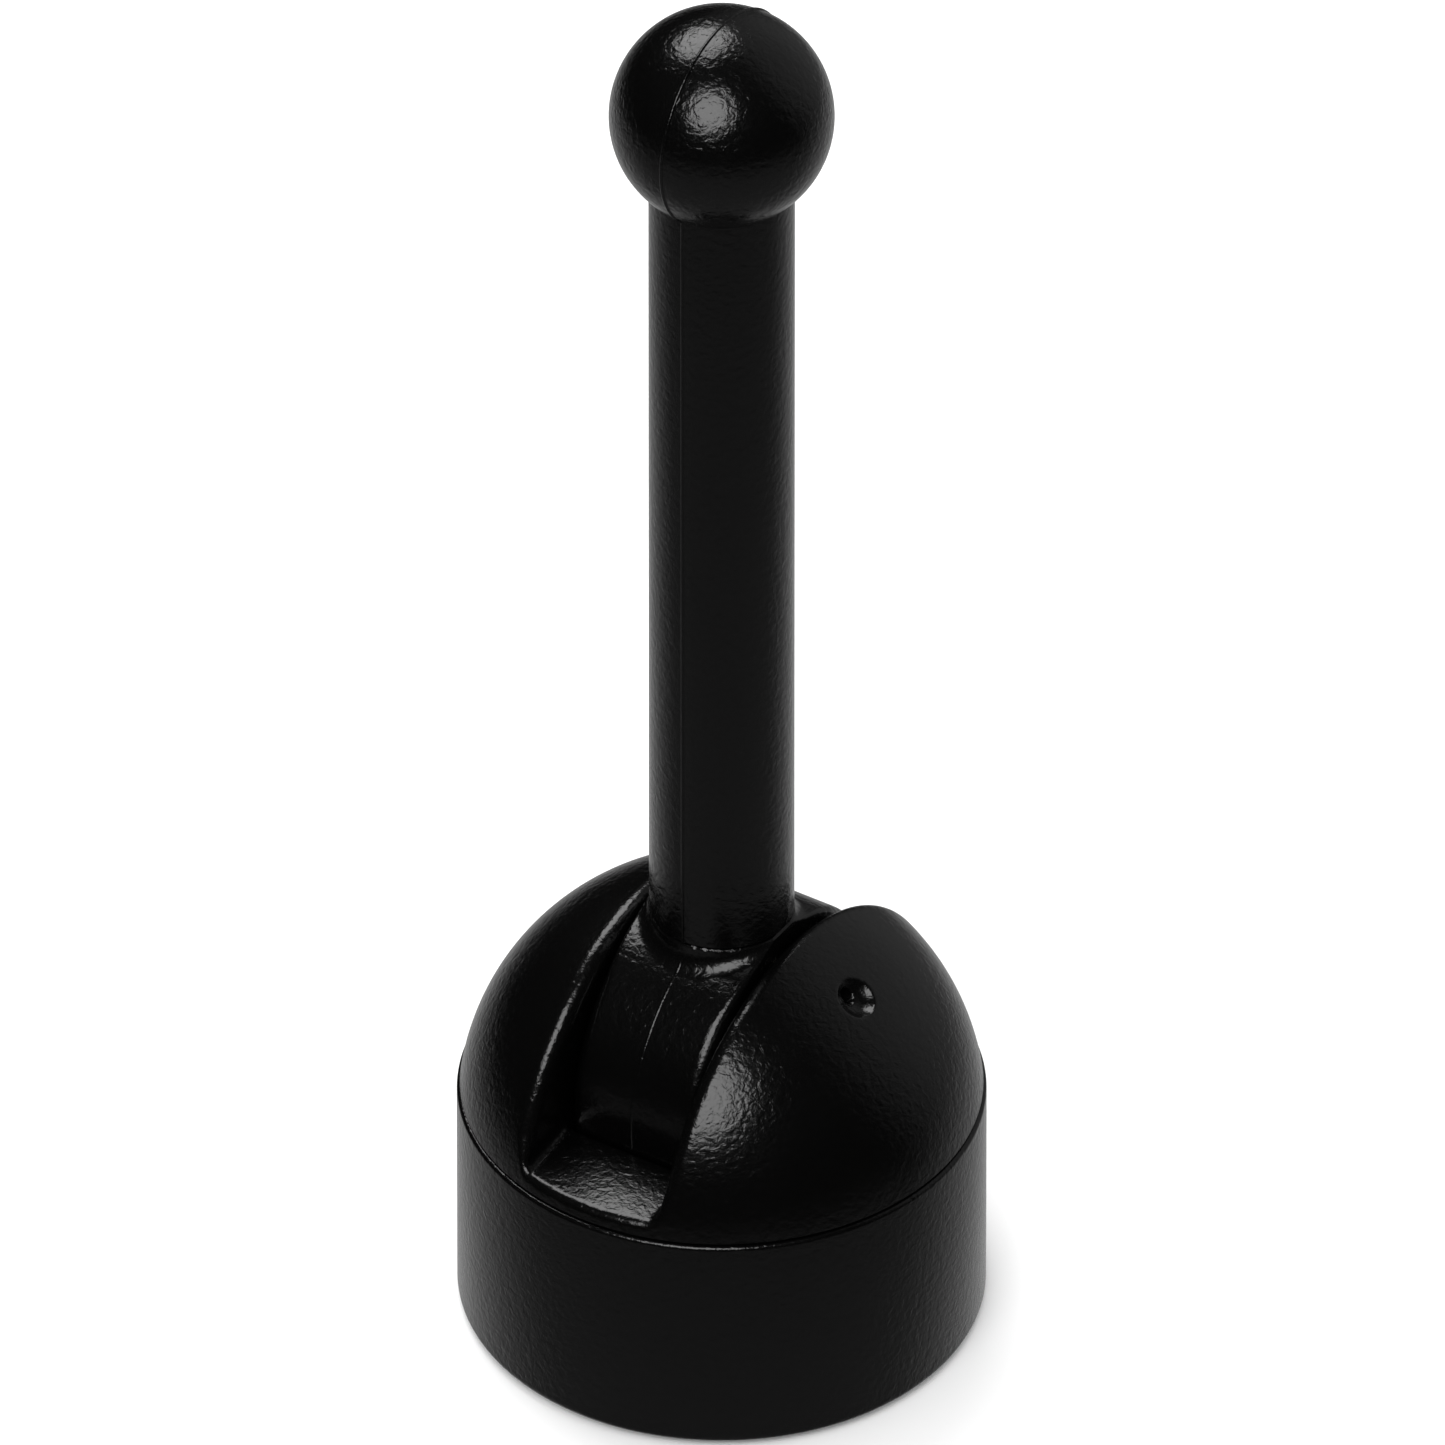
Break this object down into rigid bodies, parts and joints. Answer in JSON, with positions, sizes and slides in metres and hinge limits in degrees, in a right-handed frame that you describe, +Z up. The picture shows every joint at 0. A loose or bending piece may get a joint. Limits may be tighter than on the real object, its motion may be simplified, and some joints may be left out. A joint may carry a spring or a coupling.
{
  "type": "flight joystick",
  "caption": "Black desk-top lever joystick: ball knob on a round lever in a slotted dome over a weighted round base, tilting fore and aft and centring itself.",
  "frame": {"origin": "on the desk, under the middle of the round base", "axes": "+Z up along the lever at rest; +X along the pivot axle towards the cheek with the drag screw; -Y is the front, +Y the rear with the USB socket"},
  "size_m": [0.0934, 0.0934, 0.2805],
  "materials": {
    "shell_plastic": "black ABS mouldings, semi-gloss with a fine moulded orange peel",
    "knob_plastic": "black phenolic ball, polished",
    "bearing_plastic": "black acetal, satin as moulded",
    "natural_nylon": "natural nylon, satin",
    "rubber": "black rubber, matt",
    "steel": "turned and drawn steel, bright",
    "black_steel": "steel, black oxide",
    "brass": "turned brass",
    "cast_iron": "cast iron, as cast with a machined top",
    "aluminium": "aluminium, bead blasted",
    "nickel": "nickel plated magnet",
    "circuit_board": "glass-epoxy board with green solder mask",
    "chip_epoxy": "black moulded epoxy",
    "lead_jacket": "black PVC jacket"
  },
  "bodies": {
    "base": {"ballast_screw": "steel", "ballast_weight": "cast_iron", "base_cup": "shell_plastic", "bearing_cap_left": "bearing_plastic", "bearing_cap_right": "bearing_plastic", "board_connector": "natural_nylon", "board_screw_1": "steel", "board_screw_2": "steel", "board_screw_3": "steel", "board_spacer_1": "natural_nylon", "board_spacer_2": "natural_nylon", "board_spacer_3": "natural_nylon", "bush_left": "bearing_plastic", "bush_right": "bearing_plastic", "cap_screw_left_front": "steel", "cap_screw_left_rear": "steel", "cap_screw_right_front": "steel", "cap_screw_right_rear": "steel", "centring_spring_left": "steel", "centring_spring_right": "steel", "controller_chip": "chip_epoxy", "dome_screw_1": "black_steel", "dome_screw_2": "black_steel", "dome_screw_3": "black_steel", "dome_screw_4": "black_steel", "dome_shell": "shell_plastic", "drag_pad": "natural_nylon", "foot_front": "rubber", "foot_left": "rubber", "foot_rear": "rubber", "foot_right": "rubber", "main_board": "circuit_board", "sensor_board": "circuit_board", "sensor_bracket": "aluminium", "sensor_chip": "chip_epoxy", "sensor_connector": "natural_nylon", "sensor_lead": "lead_jacket", "sensor_screw_front": "steel", "sensor_screw_rear": "steel", "stop_bumper_front": "rubber", "stop_bumper_rear": "rubber", "usb_socket": "steel"},
    "lever": {"hub": "shell_plastic", "axle": "steel", "axle_pin": "steel", "hub_insert": "brass", "tie_rod": "steel", "lever_tube": "shell_plastic", "tube_plug_lower": "natural_nylon", "tube_plug_upper": "natural_nylon", "ball_knob": "knob_plastic", "knob_insert": "brass", "spring_arm_left": "steel", "spring_arm_right": "steel", "magnet_cup": "aluminium", "magnet": "nickel"},
    "drag_adjuster": {"drag_screw": "black_steel"}
  },
  "joints": [
    {"name": "lever_tilt", "type": "hinge", "parent": "base", "child": "lever", "pos_m": [0, 0, 0.054], "axis": [1, 0, 0], "range_deg": [-70, 70], "stiffness_Nm_per_rad": 0.45, "deforming": ["centring_spring_left", "centring_spring_right"]},
    {"name": "drag_screw_turn", "type": "hinge", "parent": "base", "child": "drag_adjuster", "pos_m": [0.0185, 0, 0.0758], "axis": [1, 0, 0], "range_deg": [-180, 180]}
  ]
}
